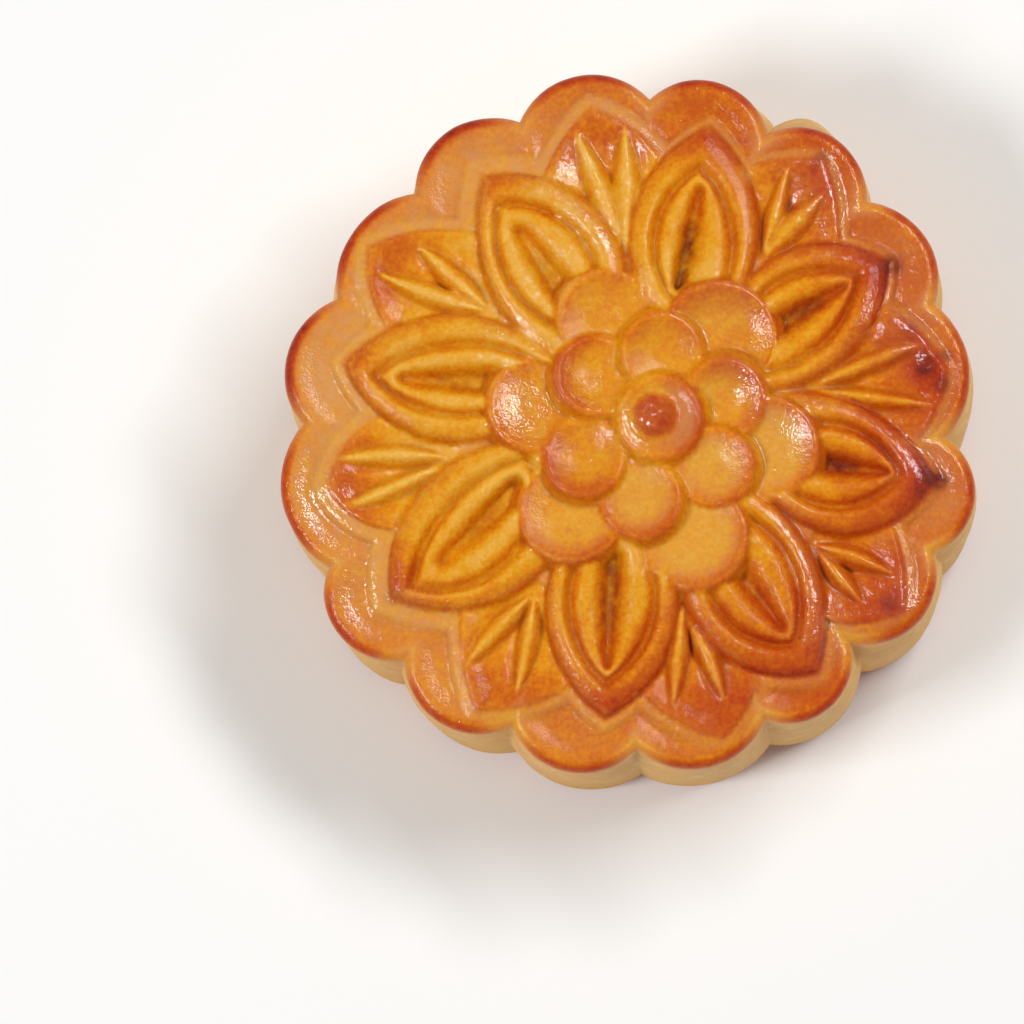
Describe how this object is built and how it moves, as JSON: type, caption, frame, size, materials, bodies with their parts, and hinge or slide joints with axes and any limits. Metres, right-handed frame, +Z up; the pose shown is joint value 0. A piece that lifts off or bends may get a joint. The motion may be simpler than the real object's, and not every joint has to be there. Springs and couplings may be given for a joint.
{
  "type": "mooncake",
  "caption": "Whole round baked mooncake with a scalloped wall and a moulded top of petals, veined leaves and lobes, resting on a flat foot.",
  "frame": {"origin": "middle of the cake's outline, on the flat foot that it rests on", "axes": "+Z up through the moulded top, +X and +Y level. A notch between two lobes lies about 3 degrees from +Y, on the +X side, and the widest lobe is near -X"},
  "size_m": [0.0798, 0.0808, 0.033],
  "materials": {
    "baked_crust": "egg-washed baked pastry crust, glossy on top and satin on the wall"
  },
  "bodies": {
    "root": {"mooncake": "baked_crust"}
  },
  "joints": []
}
